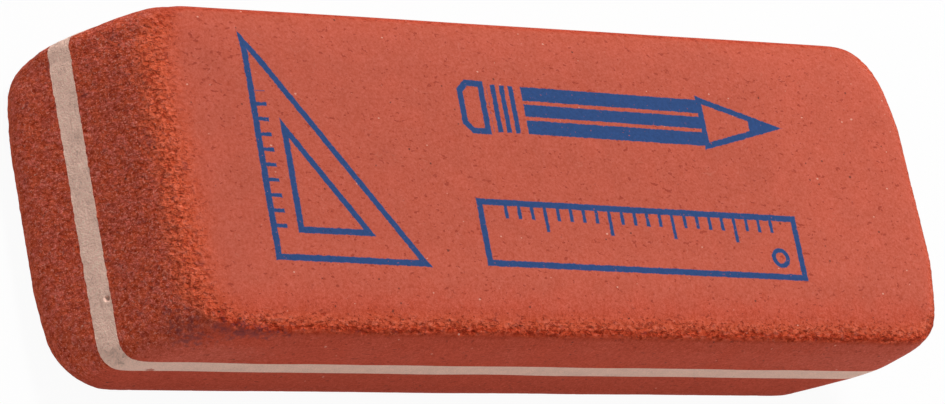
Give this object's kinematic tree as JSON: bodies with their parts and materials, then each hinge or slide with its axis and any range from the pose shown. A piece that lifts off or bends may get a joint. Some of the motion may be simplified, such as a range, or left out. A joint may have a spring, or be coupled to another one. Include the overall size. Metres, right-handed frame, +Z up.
{
  "type": "rubber eraser",
  "caption": "Block eraser of three bonded rubber layers, with leaning ends, tumbled edges and a pale core line round its sides.",
  "frame": {"origin": "centre of the bounding box's base, on the surface that the block lies on", "axes": "+X along the length towards the overhanging end, +Y across the width, +Z up through the three layers to the printed face"},
  "size_m": [0.0586, 0.021, 0.01],
  "materials": {
    "red_rubber": "matt brick-red rubber, smooth with a faint bloom on its faces and crumbly where the edges are tumbled",
    "cream_rubber": "matt cream rubber, fine-grained"
  },
  "bodies": {
    "root": {"lower_layer": "red_rubber", "core_layer": "cream_rubber", "upper_layer": "red_rubber"}
  },
  "joints": []
}
